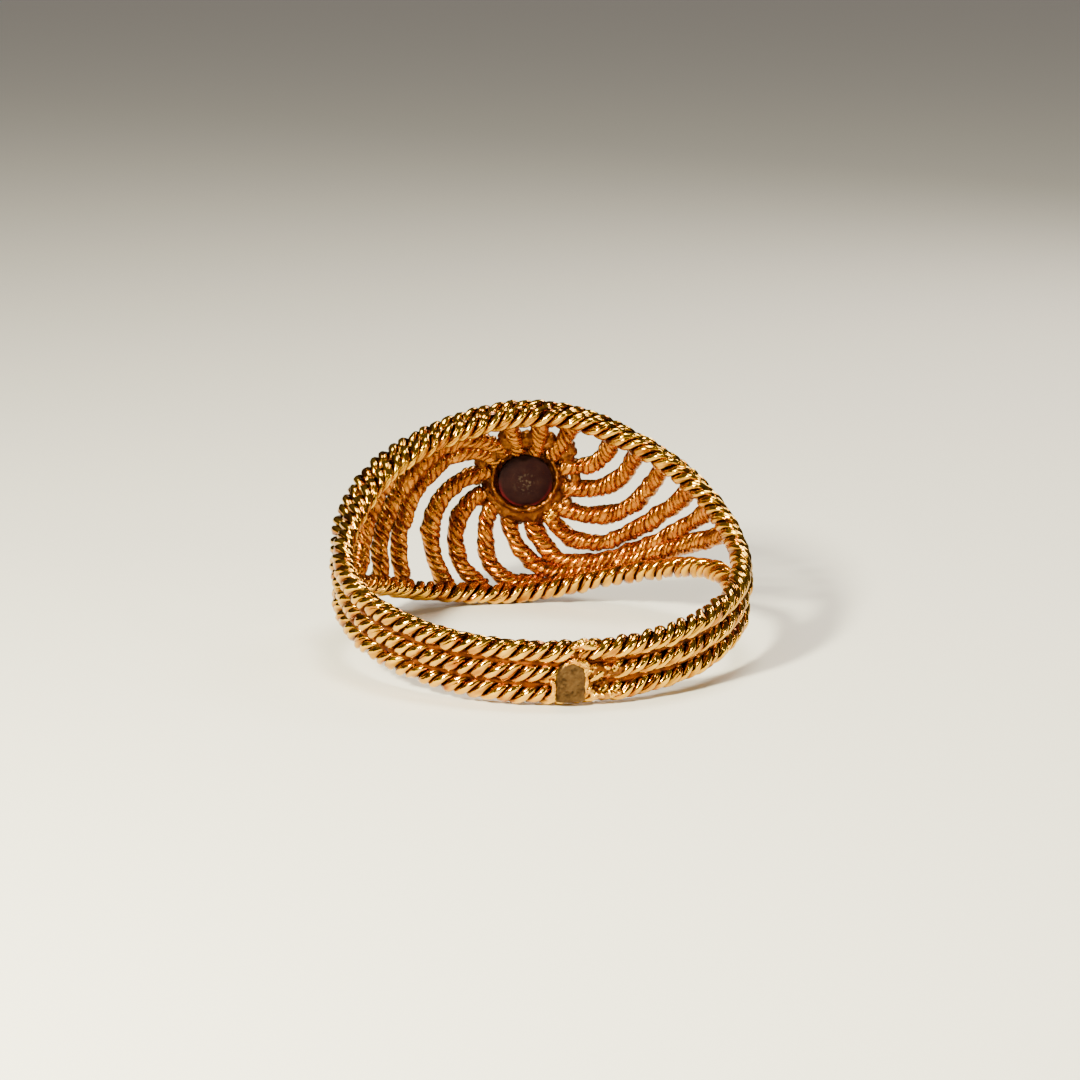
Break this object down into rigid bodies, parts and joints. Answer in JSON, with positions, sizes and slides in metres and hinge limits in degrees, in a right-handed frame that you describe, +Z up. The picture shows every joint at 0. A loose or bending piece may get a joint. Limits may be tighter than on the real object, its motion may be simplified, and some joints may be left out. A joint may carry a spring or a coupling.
{
  "type": "wire swirl ring",
  "caption": "Finger ring of twisted gold wires whose parted rims hold a domed swirl of wires round a set red cabochon, lying on its side.",
  "frame": {"origin": "on the surface that the ring lies on, under the middle of its bounding box", "axes": "+Z up from the surface, +Y from the back of the shank to the head with the stone, +X across the finger hole"},
  "size_m": [0.0208, 0.0232, 0.0109],
  "materials": {
    "gold": "bright high-carat yellow gold, twisted wire with dark solder in its grooves",
    "garnet": "polished dark red cabochon"
  },
  "bodies": {
    "root": {"gold_wirework": "gold", "stone": "garnet"}
  },
  "joints": []
}
